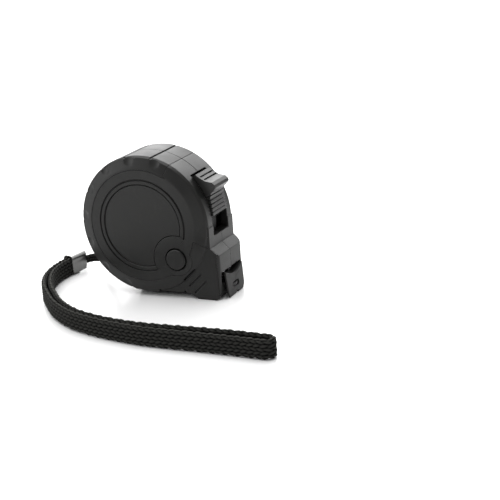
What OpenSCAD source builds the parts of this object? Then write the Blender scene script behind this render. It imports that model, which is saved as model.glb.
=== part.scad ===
// Pocket tape measure, 3 m class, with a webbing wrist strap.
// Frame: X runs towards the nose where the blade leaves, Y runs across the case, Z is up.
// The origin lies on the floor, on the case's middle plane, straight below the drum's axle.

/* [Case] */
// Height of the drum axle above the floor
axle_z = 28.5; // [28.3:0.1:28.7]
// Radius of the round back of the case over its rubber
case_r = 27.1; // [26.9:0.1:27.3]
// Half depth of the case at its side faces
side_h = 12.7; // [12.6:0.1:13]
// Half depth of the tread around the rim, and of the nose
crest_h = 10.9; // [10.7:0.1:11]
// Radius of the blade cavity
cavity_r = 24.3; // [24.2:0.1:24.4]
// Half depth of the blade cavity
cavity_h = 9.3; // [9.2:0.1:9.5]
// Thickness of the rubber grip on the rim and nose
skin = 1.2; // [1:0.1:1.3]

/* [Side discs] */
// Radius of the round side disc
disc_r = 16.1; // [15.9:0.1:16.1]
// Outer radius of the raised bead around the disc
bead_r = 17.7; // [17.5:0.1:17.8]
// Radius of the small round cap
cap_r = 4; // [3.6:0.1:4.2]
// Forward place of the small round cap
cap_x = 13.5; // [13.3:0.1:13.7]
// Height of the small round cap
cap_z = 15.9; // [15.7:0.1:16.1]

/* [Blade and reel] */
// Width of the blade
blade_w = 16; // [15.6:0.1:16]
// Thickness of the blade with its coating
blade_t = 0.3; // [0.2:0.05:0.3]
// Radius that the blade is curved to across its width
blade_curve = 14; // [13.8:0.1:14.6]
// Height of the underside of the blade at its middle
blade_z = 7.2; // [7.1:0.1:7.3]
// Outer radius of the blade wound on the reel
coil_r = 17.8; // [17.4:0.1:17.8]
// Radius of the reel's hub
hub_r = 11.9; // [11.5:0.1:12]
// Radius of the fixed spindle
spindle_r = 3; // [2.8:0.1:3.2]

/* [Thumb lock] */
// Angle of the slot's top end, from level
slot_top = 45; // [44:1:46]
// Angle of the slot's bottom end, from level
slot_low = -8.5; // [-9:0.5:-8]
// Half width of the slot
slot_h = 6.5; // [6.4:0.1:6.6]
// Angle of the lock's top edge when it is up
lock_top = 42.5; // [42:0.5:43.5]
// Angle of the lock's lower edge when it is up
lock_low = 7.5; // [7:0.5:8]

/* [End hook] */
// Half width of the hook at its top
hook_top_h = 7.8; // [7.5:0.1:8]
// Half width of the hook at its foot
hook_low_h = 7.3; // [7:0.1:7.5]
// Thickness of the hook's sheet steel
hook_t = 0.8; // [0.6:0.1:0.9]

/* [Belt clip] */
// Width of the belt clip
clip_w = 13; // [12:0.5:15]
// Thickness of the clip's spring steel
clip_t = 0.8; // [0.7:0.1:0.9]
// Height of the clip's screw
clip_screw_z = 39.4; // [39:0.1:39.8]

/* [Strap] */
// Width of the flat webbing
strap_w = 7; // [6.6:0.1:7]
// Thickness of the webbing
strap_t = 1.7; // [1.5:0.1:1.7]
// Width of the short cord between the ferrule and the case
tail_w = 3.4; // [3:0.1:3.6]
// Thickness of the short cord
tail_t = 1.6; // [1.4:0.1:1.8]

/* [Hidden] */
round_fn = 96;
small_fn = 32;
far = 60;
case_black = [0.1, 0.1, 0.1];
rubber_black = [0.06, 0.06, 0.06];
steel_grey = [0.72, 0.73, 0.75];
// side face relief, as depths from the middle plane
disc_h = side_h - 0.1;
bead_h = side_h + 0.1;
cap_h = side_h + 0.7;
recess_h = side_h - 1.4;
// the rim's bevel from the side face out to the tread, as [radius, depth] pairs
rim = [[case_r, crest_h - 0.5], [case_r - 0.65, crest_h + 0.55], [23, side_h - 0.2],
  [22.5, side_h - 0.07], [22, side_h]];
grip_r = 21.9;
core_r = case_r - skin;
core_side = side_h - 0.8;
// nose outline heights and reaches
belly_z = 2.3;
keel_h = 6;
fold_z = 20.4;
front_x = case_r + 0.3;
lip_x = 30.5;
lip_z = 17.6;
toe_x = 28.4;
heel_x = 21;
step_x = 17.6;
belly_x = -2;
// mouth of the case
mouth_z0 = 6.2;
mouth_z1 = 10.7;
mouth_h = 8.7;
// ring around the small cap, cut into the disc, and the bare plastic left round the cap
ring_r = 9.3;
bare_r = 6.6;
// grip grooves around the back
groove_step = 25;
groove_first = 78.5;
groove_n = 8;
groove_w = 0.9;
groove_d = 0.7;
// dents beside the grooves on the rim's bevel
dent_r = 6;
dent_lag = 4.6;
nose_round = 2.2;
// case screws
boss_r = 22.5;
boss_out = 2.3;
screw_r = 0.95;
screw_head_r = 1.6;
screw_angles = [68, 125, 185];
nose_screw = [26, 15.3];
screw_tip = -8;
screw_head_y = 10.6;
nose_drop = 2;
// strap anchor
anchor_a = 222;
pin_at = 24.9;
pin_r = 0.8;
pin_h = 4.6;
pocket_h = 3.2;
// lock guide
guide_r0 = 22.9;
guide_r1 = 24;
finger_low = -41;
// end hook
hook_top = 10.45;
hook_z = 0.05;
hook_x = 30.8;
hook_lean = 0.9;
rivet_x = 27.4;
rivet_y = 3;
rivet_r = 1;
float_len = 0.8;
strip_x0 = -11.2;
strip_x1 = 31.2;
curve_z = blade_z + blade_curve;
// running fit of the reel on its spindle
fit = 0.05;

function polar(r, a) = [r * cos(a), axle_z + r * sin(a)];

// Strap route: the middle line between the loop's two runs, as [x, y, half gap] points.
strap_mid = [[-44.6, 9, 0.9], [-45.2, 4, 0.9], [-45.4, -3, 0.9], [-44.2, -10.5, 1],
  [-41.4, -18, 1.2], [-36.4, -26.5, 1.3], [-30, -34.4, 1.3], [-21.5, -43.3, 1.3],
  [-10.5, -51, 1.3], [0, -55.1, 1.35], [10, -57.5, 1.45], [21.5, -59, 1.8],
  [34, -59.1, 2.15], [46, -58.8, 2.4], [58, -58.8, 2.6], [66, -59.1, 2.6], [70, -59.3, 2.6]];
// Tail route: from the pin in the case out to the ferrule.
tail_path = [[-18.5, 0, 11.9], [-20.8, 0.4, 9.8], [-24, 3, 7.9], [-28.5, 7.5, 6.4],
  [-33, 11.8, 5.4], [-37, 14.9, 4.7], [-40.8, 15.8, 4.1], [-43.2, 14, 3.7],
  [-44.2, 11, 3.5], [-44.5, 9.3, 3.5]];

// Places children's [x, z] outline across the case from depth y0 to y1.
module across(y0, y1) {
  translate([0, y1, 0]) rotate([90, 0, 0]) linear_extrude(y1 - y0) children();
}

// Turns children's [radius, depth] outline about the axle, depth towards the near side.
module lathe(fn = round_fn) {
  translate([0, 0, axle_z]) rotate([90, 0, 0]) rotate_extrude($fn = fn) children();
}

// A block bent around the axle between two radii, two angles and two depths.
module arc_block(r0, r1, a0, a1, y0, y1) {
  translate([0, 0, axle_z]) rotate([90, 0, 0]) rotate([0, 0, a0])
    rotate_extrude(angle = a1 - a0, $fn = round_fn)
      translate([r0, -y1]) square([r1 - r0, y1 - y0]);
}

// A straight round bar across the case.
module cross_bar(at, r, y0, y1, fn = small_fn) {
  translate([at[0], y1, at[1]]) rotate([90, 0, 0]) cylinder(r = r, h = y1 - y0, $fn = fn);
}

module mirrored(side) {
  if (side > 0) mirror([0, 1, 0]) children();
  else children();
}

// The part of the rim and front that stays bare hard plastic.
module bare_front() {
  across(-far, far) polygon([[0, axle_z], [21.8, 23.2], [front_x, fold_z], [far, fold_z],
    [far, far + 20], polar(far, 62)]);
}

module bare_parts() {
  bare_front();
  cross_bar([cap_x, cap_z], bare_r, -far, -crest_h + skin + 0.3, 64);
}

module nose_outline(t) {
  polygon([[10, axle_z], [front_x - t, axle_z], [front_x - t, fold_z - 0.4 * t],
    [lip_x - t, lip_z - 0.4 * t], [lip_x - t + 0.1, 12], [lip_x - t - 0.2, 3.2],
    [toe_x + 1 - t, 0.7 + t], [toe_x - 0.6 * t, t], [heel_x + 0.6 * t, t],
    [step_x + 0.6 * t, belly_z + t], [belly_x, belly_z + t], [belly_x, axle_z]]);
}

// The nose seen from above, with round front corners.
module nose_plan(t) {
  r = nose_round - t;
  front = lip_x + 0.1 - t;
  half = crest_h - t;
  translate([0, 0, -1]) linear_extrude(axle_z + 2) {
    translate([-30, -half]) square([front - r + 30, 2 * half]);
    translate([-30, r - half]) square([front + 30, 2 * half - 2 * r]);
    for (s = [-1, 1]) translate([front - r, s * (half - r)]) circle(r = r, $fn = small_fn);
  }
}

// Near half of the core: the hard plastic under the rubber.
module core_half() {
  lathe() polygon([[0, 0], [core_r, 0], [core_r, crest_h - 0.8], [core_r - 0.7, crest_h - 0.1],
    [grip_r, core_side], [grip_r, side_h], [0, side_h]]);
  intersection() {
    across(-crest_h + skin, 0) nose_outline(skin);
    nose_plan(skin);
  }
}

// Near half of the whole outside, rubber and bare plastic together.
module outer_half() {
  lathe() polygon(concat([[0, 0], [case_r, 0]], rim, [[0, side_h]]));
  intersection() {
    across(-crest_h, 0) nose_outline(0);
    nose_plan(0);
  }
  keel_half();
}

// Raised strip under the belly that the case stands on, with sides sloping up and out.
module keel_half() {
  translate([-6, 0, 0]) rotate([90, 0, 90]) linear_extrude(heel_x + 6)
    polygon([[0, 0], [-keel_h, 0], [-crest_h, belly_z], [-crest_h, 4], [0, 4]]);
}

module cavity() {
  cross_bar([0, axle_z], cavity_r, -cavity_h, cavity_h, round_fn);
}

module mouth() {
  translate([8, -mouth_h, mouth_z0]) cube([far, 2 * mouth_h, mouth_z1 - mouth_z0]);
}

module lock_slot() {
  arc_block(cavity_r - 2, far, slot_low, slot_top, -slot_h, slot_h);
}

// Where the bumper sits below the mouth.
module bumper_seat() {
  translate([28.9, -6.1, 2.9]) cube([far, 12.2, mouth_z0 - 2.9]);
}

module pocket() {
  translate([0, 0, axle_z]) rotate([0, -anchor_a, 0])
    translate([22.6, -pocket_h, -2.4]) cube([far, 2 * pocket_h, 4.8]);
}

// Round bars on the screws' lines; the one in the nose sits deeper by nose_drop.
module screw_bars(r, y0, y1, drop = nose_drop) {
  for (a = screw_angles) cross_bar(polar(boss_r, a), r, y0, y1);
  cross_bar(nose_screw, r, y0 - drop, y1 - drop);
}

// Near half of the hard case: shell, bosses, beads and recesses.
module case_half() {
  difference() {
    union() {
      difference() {
        union() {
          core_half();
          intersection() {
            outer_half();
            bare_parts();
          }
          lathe() polygon([[disc_r + 0.2, side_h - 1], [bead_r, side_h - 1],
            [bead_r, side_h], [bead_r - 0.3, bead_h], [disc_r + 0.5, bead_h],
            [disc_r + 0.2, side_h]]);
        }
        cavity();
      }
      for (a = screw_angles) {
        intersection() {
          cross_bar(polar(boss_r, a), boss_out, -cavity_h - 0.5, 0);
          cross_bar([0, axle_z], cavity_r + 0.5, -far, far, round_fn);
        }
      }
      translate([0, 0, axle_z]) rotate([0, -anchor_a, 0])
        translate([21.4, -5, -4.2]) cube([3.4, 5, 8.4]);
    }
    mouth();
    lock_slot();
    pocket();
    // disc recess, without the ring round the small cap
    difference() {
      cross_bar([0, axle_z], disc_r + 0.1, -far, -recess_h, round_fn);
      cross_bar([cap_x, cap_z], ring_r, -far, 0, round_fn);
    }
    // the bead and its outer groove stop at the small ring
    intersection() {
      cross_bar([0, axle_z], bead_r + 0.55, -far, -side_h, round_fn);
      cross_bar([cap_x, cap_z], ring_r, -far, 0, round_fn);
    }
    difference() {
      lathe() translate([bead_r, side_h - 0.5]) square([0.5, 3]);
      cross_bar([cap_x, cap_z], ring_r - 0.3, -far, 0, round_fn);
    }
    cross_bar([cap_x, cap_z], cap_r + 0.1, -far, -recess_h, round_fn);
    cross_bar([cap_x, cap_z], cap_r + 0.4, -far, -recess_h - 0.6, round_fn);
    bumper_seat();
    cross_bar([0, axle_z], spindle_r, -far, 0, round_fn);
    cross_bar(polar(pin_at, anchor_a), pin_r, -pin_h, 0);
  }
}

module grip_grooves() {
  for (i = [0:groove_n - 1])
    translate([0, 0, axle_z]) rotate([0, -(groove_first + i * groove_step), 0])
      translate([case_r - groove_d, -far, -groove_w / 2]) cube([5, 2 * far, groove_w]);
  for (x = [4.6, 15])
    translate([x, -far, belly_z - 1]) cube([0.8, far - keel_h, 1.6]);
}

// A shallow round dent beside each groove, where the tread meets the rim's bevel.
module rim_dents() {
  for (i = [0:groove_n - 1])
    let (at = polar(case_r + 0.2, groove_first + i * groove_step - dent_lag))
      translate([at[0], -crest_h - 6.1, at[1]]) sphere(r = dent_r, $fn = 64);
}

// Three slanting grooves on the side of the nose.
module nose_grooves() {
  for (g = [[20.9, 12.3], [22.8, 9.9], [24.9, 7.3]])
    translate([g[0], -far, g[1]]) rotate([0, -43, 0])
      translate([-7.2, 0, -0.3]) cube([7.2, far - crest_h + 0.6, 0.6]);
}

module grip_half() {
  difference() {
    outer_half();
    core_half();
    bare_parts();
    lathe() square([grip_r, far]);
    mouth();
    pocket();
    grip_grooves();
    rim_dents();
    nose_grooves();
    bumper_seat();
  }
}

module case_near() {
  color(case_black) difference() {
    case_half();
    screw_bars(screw_r, screw_tip - 0.6, 0.1, 0);
  }
}

module case_far() {
  color(case_black) difference() {
    mirror([0, 1, 0]) case_half();
    screw_bars(screw_r + 0.2, -0.1, screw_head_y + 0.1, 0);
    screw_bars(screw_head_r + 0.15, screw_head_y, far);
    cross_bar([0, clip_screw_z], 1.5, cavity_h, far);
  }
}

module grip_near() {
  color(rubber_black) grip_half();
}

module grip_far() {
  color(rubber_black) difference() {
    mirror([0, 1, 0]) grip_half();
    screw_bars(screw_head_r + 0.15, screw_head_y, far);
  }
}

module side_disc(side) {
  mirrored(side) difference() {
    cross_bar([0, axle_z], disc_r, -disc_h, -recess_h, round_fn);
    cross_bar([cap_x, cap_z], ring_r + 0.15, -far, far, round_fn);
  }
}

module disc_near() {
  color(rubber_black) side_disc(-1);
}

module disc_far() {
  color(rubber_black) difference() {
    side_disc(1);
    cross_bar([0, clip_screw_z], 1.6, recess_h - 1, far);
  }
}

module side_cap(side) {
  mirrored(side) translate([cap_x, 0, cap_z]) rotate([90, 0, 0])
    rotate_extrude($fn = 64) polygon([[0, recess_h], [cap_r, recess_h], [cap_r, cap_h - 0.5],
      [cap_r - 0.15, cap_h - 0.2], [cap_r - 0.5, cap_h], [0, cap_h]]);
}

module cap_near() {
  color(rubber_black) side_cap(-1);
}

module cap_far() {
  color(rubber_black) side_cap(1);
}

module screw_at(at, head_y) {
  cross_bar(at, screw_r, screw_tip, head_y);
  cross_bar(at, screw_head_r, head_y, head_y + 1.1);
}

// Screws from the far side into the near half.
module case_screws() {
  color(steel_grey) {
    for (a = screw_angles) screw_at(polar(boss_r, a), screw_head_y);
    screw_at(nose_screw, screw_head_y - nose_drop);
  }
}

module spindle() {
  color(steel_grey) cross_bar([0, axle_z], spindle_r, -recess_h, recess_h, 48);
}

// Coiled spring steel packed between the spindle and the hub.
module power_spring() {
  color([0.35, 0.36, 0.4]) lathe() translate([spindle_r, -6.6])
    square([hub_r - 1.4 - spindle_r, 14.4]);
}

module reel_drum() {
  color([0.85, 0.85, 0.82]) {
    lathe() translate([hub_r - 1.1, -8.5]) square([1.1, 16.9]);
    lathe() translate([spindle_r + fit, -9]) square([coil_r + 0.5 - spindle_r - fit, 0.6]);
    lathe() translate([spindle_r + fit, -8.4]) square([1.2, 1.6]);
  }
}

module reel_cover() {
  color([0.85, 0.85, 0.82]) lathe()
    translate([spindle_r + fit, 8.4]) square([coil_r + 0.5 - spindle_r - fit, 0.6]);
}

module blade_coil() {
  color([0.93, 0.77, 0.12]) lathe()
    translate([hub_r + fit, -blade_w / 2]) square([coil_r - hub_r - fit, blade_w]);
}

// A sheet bent across its width like the blade, between two radii, along X.
module curved_sheet(x0, x1, r0, r1, half) {
  intersection() {
    translate([x0, 0, curve_z]) rotate([0, 90, 0]) difference() {
      cylinder(r = r1, h = x1 - x0, $fn = 128);
      translate([0, 0, -1]) cylinder(r = r0, h = x1 - x0 + 2, $fn = 128);
    }
    translate([x0, -half, 0]) cube([x1 - x0, 2 * half, axle_z - 6]);
  }
}

module blade_strip() {
  color([0.93, 0.77, 0.12]) difference() {
    curved_sheet(strip_x0, strip_x1 - 1.5, blade_curve - blade_t, blade_curve, blade_w / 2);
    for (s = [-1, 1])
      translate([rivet_x, s * rivet_y, 0]) cylinder(r = rivet_r, h = 20, $fn = small_fn);
  }
}

module hook_rivets() {
  color(steel_grey) for (s = [-1, 1]) translate([rivet_x, s * rivet_y, 0]) {
    translate([0, 0, 6.6]) cylinder(r = rivet_r, h = 2.8, $fn = small_fn);
    translate([0, 0, 9.22]) cylinder(r = 1.6, h = 0.45, $fn = small_fn);
    translate([0, 0, 6.5]) cylinder(r = 1.5, h = 0.5, $fn = small_fn);
  }
}

// Sheet steel hook: a curved tongue on the blade and a plate hanging in front of the nose.
module end_hook() {
  tongue_out = blade_curve - blade_t;
  color([0.12, 0.12, 0.12]) difference() {
    union() {
      curved_sheet(24.4, hook_x + 0.5, tongue_out - hook_t, tongue_out, 7);
      intersection() {
        across(-hook_top_h, hook_top_h)
          polygon([[hook_x, hook_top], [hook_x + hook_t, hook_top],
            [hook_x + hook_t + hook_lean, hook_z], [hook_x + hook_lean, hook_z]]);
        translate([hook_x - 2, 0, 0]) rotate([90, 0, 90]) linear_extrude(6)
          polygon([[-hook_top_h, hook_top], [-hook_top_h, 8.4], [-hook_low_h, 1],
            [-hook_low_h + 0.8, hook_z], [-1, hook_z], [-0.6, hook_z + 0.9],
            [0.6, hook_z + 0.9], [1, hook_z], [hook_low_h - 1.6, hook_z],
            [hook_low_h, 1.8], [hook_top_h, 8.4], [hook_top_h, hook_top]]);
      }
    }
    // the plate's top edge follows the tongue's hollow
    translate([hook_x - 2, 0, curve_z]) rotate([0, 90, 0])
      cylinder(r = tongue_out - hook_t, h = 6, $fn = 128);
    // oblong hole for hanging on a nail
    for (s = [-1, 1]) translate([hook_x - 2, s * 1.5, 3.9]) rotate([0, 90, 0])
      cylinder(r = 1.1, h = 6, $fn = 24);
    translate([hook_x - 2, -1.5, 2.8]) cube([6, 3, 2.2]);
    // slots that let the hook float on its rivets
    for (s = [-1, 1]) translate([rivet_x, s * rivet_y, 0]) {
      for (dx = [0.05, -float_len - 0.05])
        translate([dx, 0, 7]) cylinder(r = rivet_r + 0.1, h = 5, $fn = small_fn);
      translate([-float_len - 0.05, -rivet_r - 0.1, 7])
        cube([float_len + 0.1, 2 * rivet_r + 0.2, 5]);
    }
  }
}

// Thumb lock: it slides down an arc about the axle in the slot at the front.
module thumb_lock() {
  half = slot_h - 0.3;
  color(rubber_black) {
    difference() {
      across(-half, half) polygon([polar(25.4, lock_top), polar(28.6, lock_top),
        polar(29.2, 38), polar(30.3, 34), polar(32.3, 31), polar(32.8, 28.5),
        polar(32.6, 26.6), polar(31.4, 25.6), polar(29.6, 24.4), polar(28.7, 21.5),
        polar(28.2, 17), polar(27.9, 12), polar(27.7, lock_low), polar(25.4, lock_low),
        polar(25.4, 23)]);
      // two fine grooves across the thumb rest
      for (a = [35, 38.4]) arc_block(28.2, 32, a, a + 1, -half + 1.2, half - 0.5);
      // grip lines down the front, ending in a deeper notch at the near side
      for (a = [10:3.2:22.8]) {
        arc_block(27.45 + (a - 10) * 0.035, 32, a, a + 0.75, -far, far);
        arc_block(26.9, 32, a - 0.1, a + 0.85, -far, -half + 0.9);
      }
    }
    arc_block(guide_r0, guide_r1, 2, 48, -7.8, 7.8);
    arc_block(guide_r1 - 0.2, 26.4, lock_low, lock_top, -half, half);
  }
}

// Brake finger under the lock, which comes down on the blade behind the mouth.
module lock_shoe() {
  color([0.8, 0.8, 0.78]) arc_block(guide_r0, guide_r1, finger_low, 2, -3, 3);
}

module mouth_bumper() {
  color([0.2, 0.2, 0.2]) translate([28.9, -6, 3]) cube([1.3, 12, mouth_z0 - 3]);
}

// Belt clip on the far side, bent from one strip, shown in its [y, z] profile.
module belt_clip() {
  color(steel_grey) difference() {
    translate([-clip_w / 2, 0, 0]) rotate([90, 0, 90]) linear_extrude(clip_w)
      polygon([[disc_h, 42.9], [disc_h + clip_t, 42.9], [disc_h + clip_t, 35.6],
        [16.2, 31.2], [16.2, 16], [14.1, 11.6], [15.2, 8.4], [14.5, 8.1],
        [13.2, 11.6], [15.4, 16.2], [15.4, 31], [disc_h, 35.2]]);
    cross_bar([0, clip_screw_z], 1.6, disc_h - 1, far);
  }
}

module clip_screw() {
  color(steel_grey) {
    cross_bar([0, clip_screw_z], 1.5, cavity_h + 0.4, disc_h + clip_t);
    cross_bar([0, clip_screw_z], 2.8, disc_h + clip_t, disc_h + clip_t + 1.2);
  }
}

module strap_pin() {
  color(steel_grey) cross_bar(polar(pin_at, anchor_a), pin_r, -pin_h, pin_h);
}

function flat_dir(p, q) = let (d = [q[0] - p[0], q[1] - p[1]]) d / norm(d);
function mid_dir(i) = flat_dir(strap_mid[max(i - 1, 0)],
  strap_mid[min(i + 1, len(strap_mid) - 1)]);
function run_point(i, s) = let (m = strap_mid[i], d = mid_dir(i))
  [m[0] + s * m[2] * d[1], m[1] - s * m[2] * d[0]];
last_mid = len(strap_mid) - 1;
loop_end = strap_mid[last_mid];
// The whole loop as [x, y]: out on the near run, round the end, back on the far run.
loop_path = concat(
  [for (i = [0:last_mid]) run_point(i, 1)],
  [for (k = [1:7]) let (a = -90 + k * 22.5)
    [loop_end[0] + loop_end[2] * cos(a), loop_end[1] + loop_end[2] * sin(a)]],
  [for (i = [last_mid:-1:0]) run_point(i, -1)]);

function tangent(path, i) = let (
  a = path[max(i - 1, 0)], b = path[min(i + 1, len(path) - 1)], d = b - a) d / norm(d);

// One ring of a flat band: its wide side stands along "up", its thin side across the route.
function band_ring(p, d, w, t) = let (
  across_dir = cross(d, [0, 0, 1]) / norm(cross(d, [0, 0, 1])),
  up = cross(across_dir, d), c = t * 0.3)
  [for (q = [[t / 2, w / 2 - c], [t / 2 - c, w / 2], [-t / 2 + c, w / 2], [-t / 2, w / 2 - c],
    [-t / 2, -w / 2 + c], [-t / 2 + c, -w / 2], [t / 2 - c, -w / 2], [t / 2, -w / 2 + c]])
    p + q[0] * across_dir + q[1] * up];

module band(path, w, t) {
  n = len(path);
  points = [for (i = [0:n - 1]) each band_ring(path[i], tangent(path, i), w, t)];
  sides = [for (i = [0:n - 2]) for (k = [0:7]) let (a = i * 8 + k, b = i * 8 + (k + 1) % 8)
    each [[a, b, a + 8], [b, b + 8, a + 8]]];
  ends = [[for (k = [7:-1:0]) k], [for (k = [0:7]) (n - 1) * 8 + k]];
  polyhedron(points = points, faces = concat(sides, ends), convexity = 10);
}

module strap_loop() {
  color(rubber_black) band([for (p = loop_path) [p[0], p[1], strap_w / 2]], strap_w, strap_t);
}

module strap_tail() {
  color(rubber_black) band(tail_path, tail_w, tail_t);
}

// Folded metal ferrule that clamps both ends of the loop and the tail.
module strap_ferrule() {
  color(steel_grey) translate([-44.8, 8.5, 0]) rotate([0, 0, 83]) difference() {
    translate([-4.2, 0, 0]) rotate([90, 0, 90]) linear_extrude(8.4)
      polygon([[-2.3, 0.2], [2.3, 0.2], [2.3, 6.3], [1.9, 7.2], [1.2, 7.7], [-1.2, 7.7],
        [-1.9, 7.2], [-2.3, 6.3]]);
    translate([-5, -1.85, -1]) cube([10, 3.7, strap_w + 1.05]);
  }
}

case_near();
case_far();
grip_near();
grip_far();
disc_near();
disc_far();
cap_near();
cap_far();
case_screws();
spindle();
power_spring();
reel_drum();
reel_cover();
blade_coil();
blade_strip();
hook_rivets();
end_hook();
thumb_lock();
lock_shoe();
mouth_bumper();
belt_clip();
clip_screw();
strap_pin();
strap_tail();
strap_loop();
strap_ferrule();
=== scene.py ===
# %% [markdown]
# # A pocket tape measure with a wrist strap
# The object is a short round tape measure: two hard plastic halves with rubber moulded over
# the back, belly and nose, a steel blade with a hook on its end, a thumb lock in the front,
# a belt clip on the far side, and a webbing loop that a small metal ferrule holds to the case.
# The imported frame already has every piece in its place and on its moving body, so this
# lesson only gives each piece its looks.

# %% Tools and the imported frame
import bpy
import bmesh
import math
import numpy as np
from mathutils import Matrix, Vector


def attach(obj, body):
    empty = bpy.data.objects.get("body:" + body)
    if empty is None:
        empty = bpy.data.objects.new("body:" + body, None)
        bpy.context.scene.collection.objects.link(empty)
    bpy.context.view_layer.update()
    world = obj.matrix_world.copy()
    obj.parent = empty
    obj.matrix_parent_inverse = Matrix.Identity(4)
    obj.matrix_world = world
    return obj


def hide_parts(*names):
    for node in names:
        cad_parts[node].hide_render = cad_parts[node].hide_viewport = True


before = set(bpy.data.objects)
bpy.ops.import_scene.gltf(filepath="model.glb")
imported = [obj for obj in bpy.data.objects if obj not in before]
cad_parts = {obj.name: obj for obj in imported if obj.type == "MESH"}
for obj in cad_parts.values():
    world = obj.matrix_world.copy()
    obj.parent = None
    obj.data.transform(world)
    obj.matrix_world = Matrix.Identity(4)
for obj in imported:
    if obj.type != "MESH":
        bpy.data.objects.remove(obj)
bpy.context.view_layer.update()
MM = 0.001
print("frame holds", len(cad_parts), "pieces")

# %% [markdown]
# ## Camera
# The camera stands in front of the nose and a little above the case, with a long lens, so
# that the round side, the rim and the mouth show at once. Its place and aim are written as
# plain numbers in the tape's own frame, with a small roll about the line of sight.

# %% Camera
eye = Vector((242.6, -442.5, 166.5)) * MM
aim = Vector((-0.3999, 0.8687, -0.2923))
roll = math.radians(-3.67)
lens = bpy.data.cameras.new("camera")
lens.sensor_width = 36
lens.lens = 96.28
camera = bpy.data.objects.new("camera", lens)
bpy.context.scene.collection.objects.link(camera)
turn = aim.to_track_quat("-Z", "Y").to_matrix() @ Matrix.Rotation(roll, 3, "Z")
camera.matrix_world = Matrix.Translation(eye) @ turn.to_4x4()
bpy.context.scene.camera = camera
print("camera is", round(eye.length / MM), "mm from the case")

# %% [markdown]
# ## Helpers for shader nodes
# A material is a small network of nodes. One helper adds a node and wires or fills its
# sockets by name, so that each finish below reads as a short list of what it is made of.

# %% Node helpers
def add_node(tree, kind, settings=None, **sockets):
    made = tree.nodes.new(kind)
    for name, value in (settings or {}).items():
        setattr(made, name, value)
    for name, value in sockets.items():
        socket = made.inputs[int(name[1:])] if name[0] == "i" and name[1:].isdigit() else (
            made.inputs[name.replace("_", " ")])
        if isinstance(value, bpy.types.NodeSocket):
            tree.links.new(value, socket)
        else:
            socket.default_value = value
    return made

def new_material(name):
    made = bpy.data.materials.new(name)
    made.use_nodes = True
    made.node_tree.nodes.clear()
    return made, made.node_tree

def new_group(name, inputs, outputs):
    group = bpy.data.node_groups.new(name, "ShaderNodeTree")
    for label, kind, value in inputs:
        socket = group.interface.new_socket(label, in_out="INPUT", socket_type=kind)
        if value is not None:
            socket.default_value = value
    for label, kind in outputs:
        group.interface.new_socket(label, in_out="OUTPUT", socket_type=kind)
    return group, group.nodes.new("NodeGroupInput"), group.nodes.new("NodeGroupOutput")

# %% [markdown]
# ## Effects that several finishes share
# Moulded plastic and rubber carry a fine spark-eroded grain, and handling leaves faint
# scuffs. Both effects are node groups made once. Each takes a position in metres and gives
# back plain numbers, so any material can use them at its own strength.

# %% Mould grain group
grain_group, grain_in, grain_out = new_group(
    "mould grain",
    [("Position", "NodeSocketVector", None), ("Size", "NodeSocketFloat", 3000.0)],
    [("Height", "NodeSocketFloat"), ("Tone", "NodeSocketFloat")])
fine = add_node(grain_group, "ShaderNodeTexNoise", Vector=grain_in.outputs["Position"],
                Scale=grain_in.outputs["Size"], Detail=3.0, Roughness=0.6)
broad = add_node(grain_group, "ShaderNodeTexNoise", Vector=grain_in.outputs["Position"],
                 Scale=90.0, Detail=4.0, Roughness=0.55)
grain_group.links.new(fine.outputs["Fac"], grain_out.inputs["Height"])
grain_group.links.new(broad.outputs["Fac"], grain_out.inputs["Tone"])
print("mould grain group has", len(grain_group.nodes), "nodes")

# %% Scuff group
scuff_group, scuff_in, scuff_out = new_group(
    "handling scuffs",
    [("Position", "NodeSocketVector", None), ("Amount", "NodeSocketFloat", 0.3)],
    [("Mask", "NodeSocketFloat")])
stretch = add_node(scuff_group, "ShaderNodeMapping", Vector=scuff_in.outputs["Position"])
stretch.inputs["Rotation"].default_value = (0.4, 0.2, 0.7)
stretch.inputs["Scale"].default_value = (900.0, 160.0, 420.0)
streak = add_node(scuff_group, "ShaderNodeTexNoise", Vector=stretch.outputs["Vector"],
                  Scale=1.0, Detail=5.0, Roughness=0.65)
patch = add_node(scuff_group, "ShaderNodeTexNoise", Vector=scuff_in.outputs["Position"],
                 Scale=140.0, Detail=2.0)
both = add_node(scuff_group, "ShaderNodeMath", {"operation": "MULTIPLY"},
                i0=streak.outputs["Fac"], i1=patch.outputs["Fac"])
cut = add_node(scuff_group, "ShaderNodeMapRange", Value=both.outputs["Value"],
               From_Min=0.3, From_Max=0.42, To_Min=0.0, To_Max=scuff_in.outputs["Amount"])
scuff_group.links.new(cut.outputs["Result"], scuff_out.inputs["Mask"])
print("scuff group has", len(scuff_group.nodes), "nodes")

# %% [markdown]
# ## Plastic and rubber finishes
# Black plastic is never one flat black. The base colour and gloss drift a little, the scuffs
# are a touch lighter, and the grain gives the soft broken highlight of a moulded part. One
# maker covers the whole family, and each member has its own colour, gloss and grain.

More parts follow.
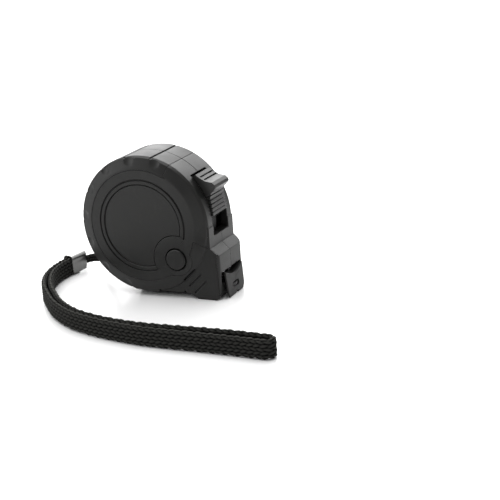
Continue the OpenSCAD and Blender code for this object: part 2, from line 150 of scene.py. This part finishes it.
# %% Moulded finishes
def moulded(name, colour, rough, grain=3000.0, bump=0.12, scuffs=0.35, specular=0.33):
    lighter = [min(1, c * 1.6 + 0.003) for c in colour]
    made, tree = new_material(name)
    place = add_node(tree, "ShaderNodeTexCoord").outputs["Object"]
    grain_node = add_node(tree, "ShaderNodeGroup", {"node_tree": grain_group},
                          Position=place, Size=grain)
    scuff_node = add_node(tree, "ShaderNodeGroup", {"node_tree": scuff_group},
                          Position=place, Amount=scuffs)
    shade = add_node(tree, "ShaderNodeMapRange", Value=grain_node.outputs["Tone"],
                     From_Min=0.3, From_Max=0.7, To_Min=0.8, To_Max=1.2)
    base = add_node(tree, "ShaderNodeMix", {"data_type": "RGBA"},
                    Factor=scuff_node.outputs["Mask"])
    tinted = add_node(tree, "ShaderNodeVectorMath", {"operation": "SCALE"},
                      i0=colour, Scale=shade.outputs["Result"])
    tree.links.new(tinted.outputs["Vector"], base.inputs[6])
    base.inputs[7].default_value = lighter + [1]
    gloss = add_node(tree, "ShaderNodeMapRange", Value=grain_node.outputs["Tone"],
                     From_Min=0.3, From_Max=0.7, To_Min=rough - 0.05, To_Max=rough + 0.05)
    bumps = add_node(tree, "ShaderNodeBump", Height=grain_node.outputs["Height"],
                     Strength=bump, Distance=0.0001)
    shader = add_node(tree, "ShaderNodeBsdfPrincipled", Base_Color=base.outputs[2],
                      Roughness=gloss.outputs["Result"], Normal=bumps.outputs["Normal"])
    shader.inputs["Specular IOR Level"].default_value = specular
    add_node(tree, "ShaderNodeOutputMaterial", Surface=shader.outputs["BSDF"])
    return made

case_plastic = moulded("case plastic", (0.0082, 0.0082, 0.0076), 0.38)
grip_rubber = moulded("grip rubber", (0.0078, 0.0078, 0.0072), 0.42, grain=2200, bump=0.2)
disc_plastic = moulded("disc plastic", (0.0085, 0.0085, 0.0079), 0.42, grain=4200, bump=0.1)
lock_plastic = moulded("lock plastic", (0.015, 0.015, 0.0142), 0.36, bump=0.1)
reel_plastic = moulded("reel plastic", (0.62, 0.62, 0.58), 0.45, bump=0.06, scuffs=0.1)
print("plastic and rubber finishes made")

# %% [markdown]
# ## Metal finishes
# The metal pieces are small, so each is one brushed, plated or painted sheet: fine streaks
# along one direction change the colour a little, and handling scuffs dull the gloss. The
# hook is painted black, so it is not a bare metal here. The ferrule carries painted light:
# its colour is made up to four times lighter where it faces up, a painted highlight, against its
# darker flaps.

# %% Metals
def metal(name, colour, rough, streaks=(2500, 200, 200), metallic=1.0, bump=0.02, specular=0.5,
          painted_top_light=0.0):
    made, tree = new_material(name)
    place = add_node(tree, "ShaderNodeTexCoord").outputs["Object"]
    drawn = add_node(tree, "ShaderNodeMapping", Vector=place)
    drawn.inputs["Scale"].default_value = streaks
    lines = add_node(tree, "ShaderNodeTexNoise", Vector=drawn.outputs["Vector"],
                     Scale=1.0, Detail=4.0)
    scuff_node = add_node(tree, "ShaderNodeGroup", {"node_tree": scuff_group},
                          Position=place, Amount=0.5)
    shade = add_node(tree, "ShaderNodeMapRange", Value=lines.outputs["Fac"],
                     From_Min=0.3, From_Max=0.7, To_Min=0.92, To_Max=1.06)
    tinted = add_node(tree, "ShaderNodeVectorMath", {"operation": "SCALE"},
                      i0=colour, Scale=shade.outputs["Result"])
    gloss = add_node(tree, "ShaderNodeMath", {"operation": "MULTIPLY_ADD"},
                     i0=scuff_node.outputs["Mask"], i1=0.3, i2=rough)
    bumps = add_node(tree, "ShaderNodeBump", Height=lines.outputs["Fac"],
                     Strength=bump, Distance=0.0001)
    shader = add_node(tree, "ShaderNodeBsdfPrincipled", Base_Color=tinted.outputs["Vector"],
                      Roughness=gloss.outputs["Value"], Metallic=metallic,
                      Normal=bumps.outputs["Normal"])
    shader.inputs["Specular IOR Level"].default_value = specular
    # painted highlight: the colour is multiplied up where the surface faces up, as if lit from
    # above
    if painted_top_light:
        way = add_node(tree, "ShaderNodeSeparateXYZ",
                       Vector=add_node(tree, "ShaderNodeNewGeometry").outputs["Normal"])
        painted_top_highlight = add_node(tree, "ShaderNodeMapRange", Value=way.outputs["Z"],
                        From_Min=0.1, From_Max=0.5, To_Min=1.0, To_Max=painted_top_light)
        painted_top_colour = add_node(tree, "ShaderNodeVectorMath", {"operation": "SCALE"},
                          i0=tinted.outputs["Vector"], Scale=painted_top_highlight.outputs["Result"])
        tree.links.new(painted_top_colour.outputs["Vector"], shader.inputs["Base Color"])
    add_node(tree, "ShaderNodeOutputMaterial", Surface=shader.outputs["BSDF"])
    return made

plated_steel = metal("plated steel", (0.56, 0.56, 0.57), 0.3)
spring_steel = metal("blued spring steel", (0.2, 0.21, 0.25), 0.3)
dark_steel = metal("blackened steel", (0.01, 0.01, 0.0095), 0.4, metallic=0.0, specular=0.2)
# the ferrule's colour carries a painted highlight on its upward faces
ferrule_metal = metal("ferrule metal", (0.15, 0.15, 0.147), 0.32, streaks=(300, 2000, 300),
                      painted_top_light=4.2)
print("metal finishes made")

# %% [markdown]
# ## Woven webbing finish
# The yarn is black polyester. The shape of each stitch is in the mesh, so the material adds
# the fibres along each yarn, too small to model, and painted light: painted shade in the
# gaps between the yarns and a painted highlight along the band's upper edge.

# %% Webbing
def woven(name, colour):
    made, tree = new_material(name)
    place = add_node(tree, "ShaderNodeTexCoord").outputs["UV"]
    fibre_map = add_node(tree, "ShaderNodeMapping", Vector=place)
    fibre_map.inputs["Scale"].default_value = (2200.0, 9000.0, 1.0)
    fibres = add_node(tree, "ShaderNodeTexNoise", Vector=fibre_map.outputs["Vector"],
                      Scale=1.0, Detail=3.0)
    stitch = add_node(tree, "ShaderNodeAttribute", {"attribute_name": "stitch"})
    # painted light: the stitch value turns the gaps almost black (painted shade) and lifts the
    # upper edge up to 1.5 times (painted highlight)
    shade = add_node(tree, "ShaderNodeMapRange", {"clamp": False}, Value=stitch.outputs["Fac"],
                     From_Min=0.25, From_Max=1.0, To_Min=0.02, To_Max=1.5)
    shade = add_node(tree, "ShaderNodeMath", {"operation": "MAXIMUM"},
                     i0=shade.outputs["Result"], i1=0.03)
    yarn_tone = add_node(tree, "ShaderNodeMapRange", Value=fibres.outputs["Fac"],
                         From_Min=0.3, From_Max=0.7, To_Min=0.75, To_Max=1.25)
    # painted gap shade and top highlight, times the real random yarn tone
    gap_shade_and_yarn_tone = add_node(tree, "ShaderNodeMath", {"operation": "MULTIPLY"},
                     i0=shade.outputs["Value"], i1=yarn_tone.outputs["Result"])
    tinted = add_node(tree, "ShaderNodeVectorMath", {"operation": "SCALE"},
                      i0=colour, Scale=gap_shade_and_yarn_tone.outputs["Value"])
    bumps = add_node(tree, "ShaderNodeBump", Height=fibres.outputs["Fac"],
                     Strength=0.5, Distance=0.0002)
    shader = add_node(tree, "ShaderNodeBsdfPrincipled", Base_Color=tinted.outputs["Vector"],
                      Roughness=0.75, Normal=bumps.outputs["Normal"])
    shader.inputs["Specular IOR Level"].default_value = 0.06
    add_node(tree, "ShaderNodeOutputMaterial", Surface=shader.outputs["BSDF"])
    return made

webbing = woven("webbing yarn", (0.019, 0.019, 0.0175))
print("webbing finish made")

# %% [markdown]
# ## The strap's route
# The loop is one flat band standing on its edge. It leaves the ferrule, runs out along the
# floor, turns in a tight round end and comes back beside itself. The route is a middle line
# with half the gap between the two runs, and the two runs are worked out from it. A smooth
# curve through the points keeps the band from kinking.

# %% Strap route
strap_mid = [(-44.6, 9, 0.9), (-45.2, 4, 0.9), (-45.4, -3, 0.9), (-44.2, -10.5, 1),
             (-41.4, -18, 1.2), (-36.4, -26.5, 1.3), (-30, -34.4, 1.3), (-21.5, -43.3, 1.3),
             (-10.5, -51, 1.3), (0, -55.1, 1.35), (10, -57.5, 1.45), (21.5, -59, 1.8),
             (34, -59.1, 2.15), (46, -58.8, 2.4), (58, -58.8, 2.6), (66, -59.1, 2.6),
             (70, -59.3, 2.6)]
strap_w, strap_t = 7 * MM, 1.7 * MM
strap_z = 3.8  # height of the band's middle, in mm, with its stitches just on the floor
cord_w, cord_t = 3.4 * MM, 1.6 * MM

def one_run(side):
    run = []
    for i, (x, y, gap) in enumerate(strap_mid):
        a = np.array(strap_mid[max(i - 1, 0)][:2])
        b = np.array(strap_mid[min(i + 1, len(strap_mid) - 1)][:2])
        d = (b - a) / np.linalg.norm(b - a)
        run.append((x + side * gap * d[1], y - side * gap * d[0], strap_z))
    return run

end_x, end_y, end_r = strap_mid[-1]
round_end = [(end_x + end_r * math.cos(a), end_y + end_r * math.sin(a), strap_z)
             for a in map(math.radians, np.arange(-67.5, 68, 22.5))]
loop_route = [Vector(p) * MM for p in one_run(1) + round_end + one_run(-1)[::-1]]
tail_route = [Vector(p) * MM for p in [
    (-18.5, 0, 11.9), (-20.8, 0.4, 9.8), (-24, 3, 7.9), (-28.5, 7.5, 6.4), (-33, 11.8, 5.4),
    (-37, 14.9, 4.7), (-40.8, 15.8, 4.1), (-43.2, 14, 3.7), (-44.2, 11, 3.5), (-44.5, 9.3, 3.5)]]

def smooth_line(points, step):
    """A curve through the points, resampled at even steps."""
    pts = [2 * points[0] - points[1]] + points + [2 * points[-1] - points[-2]]
    dense = []
    for a, b, c, d in zip(pts, pts[1:], pts[2:], pts[3:]):
        ab, bc, cd = (b - a).length, (c - b).length, (d - c).length
        lean_b = (c - a) * bc / (ab + bc)
        lean_c = (d - b) * bc / (bc + cd)
        for t in np.arange(0, 1, 0.02):
            dense.append((2 * t ** 3 - 3 * t ** 2 + 1) * b + (t ** 3 - 2 * t ** 2 + t) * lean_b
                         + (3 * t ** 2 - 2 * t ** 3) * c + (t ** 3 - t ** 2) * lean_c)
    dense = np.array([list(p) for p in dense + [points[-1]]])
    along = np.concatenate([[0], np.cumsum(np.linalg.norm(np.diff(dense, axis=0), axis=1))])
    count = int(round(along[-1] / step))
    even = np.linspace(0, along[-1], count + 1)
    return np.stack([np.interp(even, along, dense[:, k]) for k in range(3)], 1), along[-1]

loop_line, loop_length = smooth_line(loop_route, 0.26 * MM)
tail_line, tail_length = smooth_line(tail_route, 0.22 * MM)
print("strap loop", round(loop_length / MM), "mm, short cord", round(tail_length / MM), "mm")

# %% [markdown]
# ## Braided webbing
# The strap is a flat braid: yarns cross at a slant, so each face shows short slanted
# stitches in rows, and the edges are slightly scalloped. A texture alone would look printed,
# so the stitches are raised in the mesh. A grid is wrapped round a flat oval section and
# swept along the route, and each vertex is lifted by the height of its stitch. The height,
# raised on the band's upper edge, is kept as an attribute too, so that the material can paint
# shade into the gaps between the yarns and a painted highlight along that upper edge.

# %% Mesh to object
def link_mesh(bm, name, material, smooth=40):
    mesh = bpy.data.meshes.new(name)
    bm.to_mesh(mesh)
    bm.free()
    made = bpy.data.objects.new(name, mesh)
    bpy.context.scene.collection.objects.link(made)
    mesh.materials.append(material)
    if smooth:
        mesh.shade_smooth()
        mesh.set_sharp_from_angle(angle=math.radians(smooth))
    return made

# %% Braid maker
def braid(name, line, width, thick, rows, stitch, height, around, scallop=0.0):
    step = np.gradient(line, axis=0)
    step /= np.linalg.norm(step, axis=1)[:, None]
    side = np.cross(step, [0, 0, 1])
    side /= np.linalg.norm(side, axis=1)[:, None]
    rise = np.cross(side, step)
    along = np.concatenate([[0], np.cumsum(np.linalg.norm(np.diff(line, axis=0), axis=1))])
    # a flat oval section, as even steps round its edge
    r = thick / 2
    flat = width - thick
    total = 2 * flat + 2 * math.pi * r
    rings = len(line)
    s = np.linspace(0, total, around + 1)
    half = flat + math.pi * r
    turn = s % half
    flip = np.where(s % total < half, 1.0, -1.0)
    bend = np.clip((turn - flat) / r, 0, math.pi)
    out_side = flip * np.cos(bend)
    out_rise = flip * np.sin(bend)
    mid_rise = flip * (np.minimum(turn, flat) - flat / 2)
    bm = bmesh.new()
    bmesh.ops.create_grid(bm, x_segments=rings - 1, y_segments=around, size=1.0)
    co = np.array([v.co[:2] for v in bm.verts])
    i = np.rint((co[:, 0] + 1) / 2 * (rings - 1)).astype(int)
    j = np.rint((co[:, 1] + 1) / 2 * around).astype(int)
    u = along[i]
    row = (s[j] / total * rows + 0.5) % rows
    row_id = np.floor(row).astype(int)
    slope = np.where(row_id % 2 == 0, 1.0, -1.0)
    across = row - row_id - 0.5
    shift = u / stitch + 0.5 * (row_id % 2) + 0.55 * across * slope
    lengthwise = shift - np.floor(shift) - 0.5
    hump = np.sqrt(np.clip(1 - (lengthwise / 0.56) ** 2 - (across / 0.58) ** 2, 0, 1))
    edge = np.abs(out_rise[j])
    wave = scallop * edge * np.cos(2 * math.pi * u / (1.9 * stitch))
    lift = r + height * (hump - 0.75) + wave
    place = (line[i] + side[i] * (lift * out_side[j])[:, None]
             + rise[i] * (mid_rise[j] + lift * out_rise[j])[:, None])
    uv = bm.loops.layers.uv.new("UVMap")
    tone = bm.verts.layers.float.new("stitch")
    # painted light for the 'stitch' attribute: low in the gaps between yarns (painted shade),
    # raised on the upper edge (painted highlight)
    gap_shade_and_top_highlight = hump * (1 + 0.7 * np.clip(out_rise[j], 0, 1) ** 2)
    for v, p, h in zip(bm.verts, place, gap_shade_and_top_highlight):
        v.co = p
        v[tone] = h
    spots = np.stack([u, s[j]], 1)
    bm.verts.index_update()
    for face in bm.faces:
        face.smooth = True
        for loop in face.loops:
            loop[uv].uv = spots[loop.vert.index]
    bmesh.ops.remove_doubles(bm, verts=bm.verts, dist=1e-6)
    bmesh.ops.holes_fill(bm, edges=[e for e in bm.edges if e.is_boundary], sides=0)
    bmesh.ops.recalc_face_normals(bm, faces=bm.faces)
    made = link_mesh(bm, name, webbing, smooth=0)
    print(name, len(made.data.polygons), "faces")
    return made

loop_piece = braid("wrist_loop", loop_line, strap_w, strap_t, rows=12, stitch=2.5 * MM,
                   height=0.6 * MM, around=72, scallop=0.12 * MM)
tail_piece = braid("short_cord", tail_line, cord_w, cord_t, rows=8, stitch=1.7 * MM,
                   height=0.32 * MM, around=48)

# %% [markdown]
# ## Ferrule
# Both ends of the loop and the end of the short cord meet in one folded strip of thin metal,
# crimped over them from above. It could be a box with a hole, but the real one is sheet, so
# an open profile is drawn as a few edges, extruded to the ferrule's length, and given the
# sheet's thickness. The lower corners of the flaps are cut off round before the thickening.

# %% Soft edges
def soften(piece, width, segments=2):
    edge = piece.modifiers.new("soft edges", "BEVEL")
    edge.width = width
    edge.segments = segments
    edge.limit_method = "ANGLE"
    edge.angle_limit = math.radians(30)
    edge.use_clamp_overlap = False
    edge.miter_outer = "MITER_ARC"
    even = piece.modifiers.new("flat faces stay flat", "WEIGHTED_NORMAL")
    even.mode = "FACE_AREA_WITH_ANGLE"
    even.weight = 90
    even.keep_sharp = True
    return piece

# %% Ferrule
half_length = 4.6 * MM
sheet = 0.42 * MM
bm = bmesh.new()
side = [(2.3, 0.6), (2.3, 2.8), (2.25, 4.9), (2.12, 5.5), (2.3, 6.1), (2.35, 6.9), (2.1, 7.7),
        (1.6, 8.2), (0.8, 8.5)]
profile = [(-y, z) for y, z in side] + side[::-1]
rail = [bm.verts.new((-half_length, y * MM, z * MM)) for y, z in profile]
front = [bm.edges.new(pair) for pair in zip(rail, rail[1:])]
for reach in (0.9, 3.7, 3.7, 0.9):
    grown = bmesh.ops.extrude_edge_only(bm, edges=front)["geom"]
    ring = [g for g in grown if isinstance(g, bmesh.types.BMVert)]
    bmesh.ops.translate(bm, verts=ring, vec=(reach * MM, 0, 0))
    reached = max(v.co.x for v in ring)
    front = [e for e in bm.edges if all(v.co.x > reached - 1e-6 for v in e.verts)]
corners = [v for v in bm.verts
           if v.co.z < 1 * MM and abs(abs(v.co.x) - half_length) < 0.1 * MM]
bmesh.ops.bevel(bm, geom=corners, offset=2.2 * MM, offset_type="OFFSET", segments=5,
                profile=0.5, affect="VERTICES", material=-1)
bmesh.ops.recalc_face_normals(bm, faces=bm.faces)
bmesh.ops.solidify(bm, geom=bm.faces, thickness=sheet)
bmesh.ops.rotate(bm, verts=bm.verts, cent=(0, 0, 0),
                 matrix=Matrix.Rotation(math.radians(83), 3, "Z"))
bmesh.ops.translate(bm, verts=bm.verts, vec=(-44.8 * MM, 8.5 * MM, 0))
ferrule = soften(link_mesh(bm, "crimped_ferrule", ferrule_metal), 0.1 * MM)
print("ferrule sheet has", len(ferrule.data.polygons), "faces")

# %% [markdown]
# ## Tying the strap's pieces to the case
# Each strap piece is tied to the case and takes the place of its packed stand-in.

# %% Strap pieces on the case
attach(loop_piece, "case")
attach(tail_piece, "case")
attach(ferrule, "case")
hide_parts("strap_loop")
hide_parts("strap_tail")
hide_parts("strap_ferrule")
print("strap pieces ride on the case")

# %% [markdown]
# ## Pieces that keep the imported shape
# The shells, grips, discs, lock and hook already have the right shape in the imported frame,
# but their edges are as sharp as a drawing's, and a real moulding or pressing has none. Each
# such piece is a copy of its node: the loose triangles are welded and paired into four-sided
# faces, or flat areas become one face each on a plain piece, and a narrow bevel rolls every
# edge so that it catches the light. Weighted normals keep the flat faces looking flat.

# %% Copy with soft edges
def softened(node, body, material, width, segments=2, plain=False):
    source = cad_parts[node]
    bm = bmesh.new()
    bm.from_mesh(source.data)
    bmesh.ops.remove_doubles(bm, verts=bm.verts, dist=2e-6)
    if plain:
        bmesh.ops.dissolve_limit(bm, angle_limit=math.radians(0.5),
                                 verts=bm.verts, edges=bm.edges)
    else:
        bmesh.ops.join_triangles(bm, faces=bm.faces, angle_face_threshold=math.radians(0.3),
                                 angle_shape_threshold=math.radians(180))
    made = link_mesh(bm, node + "_finished", material, smooth=32)
    soften(made, width * MM, segments)
    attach(made, body)
    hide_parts(node)
    print(node, len(made.data.polygons), "faces before the bevel")

for node in ("case_near", "case_far"):
    softened(node, "case", case_plastic, 0.22)
for node in ("grip_near", "grip_far"):
    softened(node, "case", grip_rubber, 0.15)
for node in ("disc_near", "disc_far"):
    softened(node, "case", disc_plastic, 0.25, plain=node == "disc_near")
for node in ("cap_near", "cap_far"):
    softened(node, "case", disc_plastic, 0.2, plain=True)
bumper_rubber = moulded("bumper rubber", (0.003, 0.003, 0.003), 0.7, grain=2200, specular=0.1)
softened("mouth_bumper", "case", bumper_rubber, 0.15)
softened("thumb_lock", "lock", lock_plastic, 0.14, plain=True)
softened("end_hook", "hook", dark_steel, 0.3, segments=3)
softened("belt_clip", "case", plated_steel, 0.15)
softened("clip_screw", "case", plated_steel, 0.2)
softened("hook_rivets", "blade", plated_steel, 0.12)

# %% [markdown]
# ## Pieces inside the case
# The reel, spring, coil, spindle, brake finger, pin and screws are plain turned or stamped
# parts, mostly out of sight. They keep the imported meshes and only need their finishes.

# %% Inside finishes
blade_back = moulded("blade back enamel", (0.012, 0.012, 0.013), 0.22, bump=0.03, scuffs=0.3)
dark_nylon = moulded("dark nylon", (0.02, 0.02, 0.02), 0.4, bump=0.06, scuffs=0.1)
blade_yellow = moulded("blade enamel", (0.75, 0.5, 0.03), 0.3, bump=0.03, scuffs=0.15)
finishes = {"case_screws": plated_steel, "spindle": plated_steel, "strap_pin": plated_steel,
            "power_spring": spring_steel, "reel_drum": reel_plastic, "reel_cover": reel_plastic,
            "blade_coil": blade_back, "blade_strip": blade_yellow, "lock_shoe": dark_nylon}
for node, material in finishes.items():
    mesh_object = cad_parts[node]
    if not mesh_object.material_slots:
        mesh_object.data.materials.append(material)
    for holder in mesh_object.material_slots:
        holder.link = "OBJECT"
        holder.material = material
print(len(finishes), "inside pieces finished")

# %% [markdown]
# ## Printed scale on the blade
# The blade is painted yellow on its hollow side, with black marks in millimetres counted from
# the hook, longer at five and ten, and its back is dark. The marks are worked out in the
# material from the distance along the blade, so they stay sharp at any zoom. The figures at
# each centimetre are flat letters cut from a font and laid a hair above the paint.

# %% Scale marks
zero_mark = 30.8     # where the hook's inner face meets the blade, along x in mm
ink_black = (0.01, 0.01, 0.01, 1)
back_black = (0.012, 0.012, 0.013, 1)
blade_print, tree = new_material("printed blade")
place = add_node(tree, "ShaderNodeTexCoord").outputs["Object"]
axes = add_node(tree, "ShaderNodeSeparateXYZ", Vector=place)
from_hook = add_node(tree, "ShaderNodeMath", {"operation": "MULTIPLY_ADD"},
                     i0=axes.outputs["X"], i1=-1000.0, i2=zero_mark)
off_middle = add_node(tree, "ShaderNodeMath", {"operation": "ABSOLUTE"}, i0=axes.outputs["Y"])
marks = None
for pitch, starts in ((1, 6.3), (5, 5.2), (10, 3.2)):
    near = add_node(tree, "ShaderNodeMath", {"operation": "PINGPONG"},
                    i0=from_hook.outputs["Value"], i1=pitch / 2)
    line = add_node(tree, "ShaderNodeMath", {"operation": "LESS_THAN"},
                    i0=near.outputs["Value"], i1=0.1)
    reach = add_node(tree, "ShaderNodeMath", {"operation": "GREATER_THAN"},
                     i0=off_middle.outputs["Value"], i1=starts * MM)
    mark = add_node(tree, "ShaderNodeMath", {"operation": "MULTIPLY"},
                    i0=line.outputs["Value"], i1=reach.outputs["Value"])
    marks = mark if marks is None else add_node(
        tree, "ShaderNodeMath", {"operation": "MAXIMUM"},
        i0=marks.outputs["Value"], i1=mark.outputs["Value"])
scuffed = add_node(tree, "ShaderNodeGroup", {"node_tree": scuff_group},
                   Position=place, Amount=0.25)
paint = add_node(tree, "ShaderNodeMix", {"data_type": "RGBA"}, Factor=scuffed.outputs["Mask"])
paint.inputs[6].default_value = (0.78, 0.5, 0.02, 1)
paint.inputs[7].default_value = (0.6, 0.45, 0.12, 1)
inked = add_node(tree, "ShaderNodeMix", {"data_type": "RGBA"}, Factor=marks.outputs["Value"])
tree.links.new(paint.outputs[2], inked.inputs[6])
inked.inputs[7].default_value = ink_black
facing = add_node(tree, "ShaderNodeSeparateXYZ",
                  Vector=add_node(tree, "ShaderNodeNewGeometry").outputs["Normal"])
upper = add_node(tree, "ShaderNodeMath", {"operation": "GREATER_THAN"},
                 i0=facing.outputs["Z"], i1=0.0)
sides = add_node(tree, "ShaderNodeMix", {"data_type": "RGBA"}, Factor=upper.outputs["Value"])
sides.inputs[6].default_value = back_black
tree.links.new(inked.outputs[2], sides.inputs[7])
gloss = add_node(tree, "ShaderNodeMath", {"operation": "MULTIPLY_ADD"},
                 i0=scuffed.outputs["Mask"], i1=0.4, i2=0.25)
shader = add_node(tree, "ShaderNodeBsdfPrincipled", Base_Color=sides.outputs[2],
                  Roughness=gloss.outputs["Value"])
add_node(tree, "ShaderNodeOutputMaterial", Surface=shader.outputs["BSDF"])
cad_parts["blade_strip"].material_slots[0].material = blade_print
print("printed blade has", len(tree.nodes), "nodes")

# %% Figures
curve_centre, curve_radius = 21.2, 13.7  # of the blade's hollow side, in mm
ink_lift = 0.03                          # how far the figures stand above the paint, in mm
ink = moulded("scale ink", (0.012, 0.012, 0.012), 0.35, bump=0.02, scuffs=0.2)
bm = bmesh.new()
for count in (1, 2, 3, 4):
    letters = bpy.data.curves.new("figure", "FONT")
    letters.body = str(count)
    letters.size = 5.2 * MM
    letters.align_x, letters.align_y = "CENTER", "CENTER"
    holder = bpy.data.objects.new("figure", letters)
    cut_out = bmesh.new()
    cut_out.from_mesh(holder.to_mesh())
    bmesh.ops.translate(cut_out, verts=cut_out.verts,
                        vec=((zero_mark - 10 * count - 2.4) * MM, 0, 0))
    flat_mesh = bpy.data.meshes.new("figure")
    cut_out.to_mesh(flat_mesh)
    bm.from_mesh(flat_mesh)
    cut_out.free()
    bpy.data.objects.remove(holder)
bmesh.ops.subdivide_edges(bm, edges=bm.edges, cuts=1, use_grid_fill=True)
for v in bm.verts:
    hollow = math.sqrt(curve_radius ** 2 - (v.co.y / MM) ** 2)
    v.co.z = (curve_centre + ink_lift - hollow) * MM
figures = link_mesh(bm, "blade_figures", ink, smooth=0)
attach(figures, "blade")
print("blade figures have", len(figures.data.polygons), "faces")

# %% [markdown]
# ## Floor and light
# The tape stands on a white sweep. The floor is one wide plane, and the world gives even
# white light from all round. A soft box overhead makes the faint shadow under the case, a
# panel behind puts the light on the upper faces, and a weak panel on the left fills the side.

# %% Floor and light
bm = bmesh.new()
bmesh.ops.create_grid(bm, x_segments=2, y_segments=2, size=4.0)
white, tree = new_material("white sweep")
place = add_node(tree, "ShaderNodeTexCoord").outputs["Object"]
mottle = add_node(tree, "ShaderNodeTexNoise", Vector=place, Scale=30.0, Detail=2.0)
tone = add_node(tree, "ShaderNodeMapRange", Value=mottle.outputs["Fac"], To_Min=0.9, To_Max=0.93)
paint = add_node(tree, "ShaderNodeCombineColor", Red=tone.outputs["Result"],
                 Green=tone.outputs["Result"], Blue=tone.outputs["Result"])
shader = add_node(tree, "ShaderNodeBsdfPrincipled", Base_Color=paint.outputs["Color"],
                  Roughness=0.3)
add_node(tree, "ShaderNodeOutputMaterial", Surface=shader.outputs["BSDF"])
floor = link_mesh(bm, "floor", white, smooth=0)
world = bpy.data.worlds.new("studio")
world.use_nodes = True
sky = world.node_tree.nodes["Background"]
sky.inputs["Color"].default_value = (1, 1, 1, 1)
sky.inputs["Strength"].default_value = 0.5
bpy.context.scene.world = world

def soft_box(name, place, target, wide, tall, watts):
    lamp = bpy.data.lights.new(name, "AREA")
    lamp.shape = "RECTANGLE"
    lamp.size, lamp.size_y = wide, tall
    lamp.energy = watts
    holder = bpy.data.objects.new(name, lamp)
    holder.location = place
    holder.rotation_euler = (Vector(target) - Vector(place)).to_track_quat("-Z", "Y").to_euler()
    bpy.context.scene.collection.objects.link(holder)

soft_box("overhead box", (-0.2, 0.1, 1.0), (0, 0, 0), 1.2, 1.1, 13)
soft_box("back panel", (-0.45, 1.5, 0.75), (0, 0, 0.1), 2.2, 1.1, 26)
soft_box("left panel", (-1.2, -0.9, 0.5), (0, 0, 0), 1.0, 0.9, 7)
bpy.context.scene.view_settings.view_transform = "Standard"
print("lit from above, from behind and from the left")
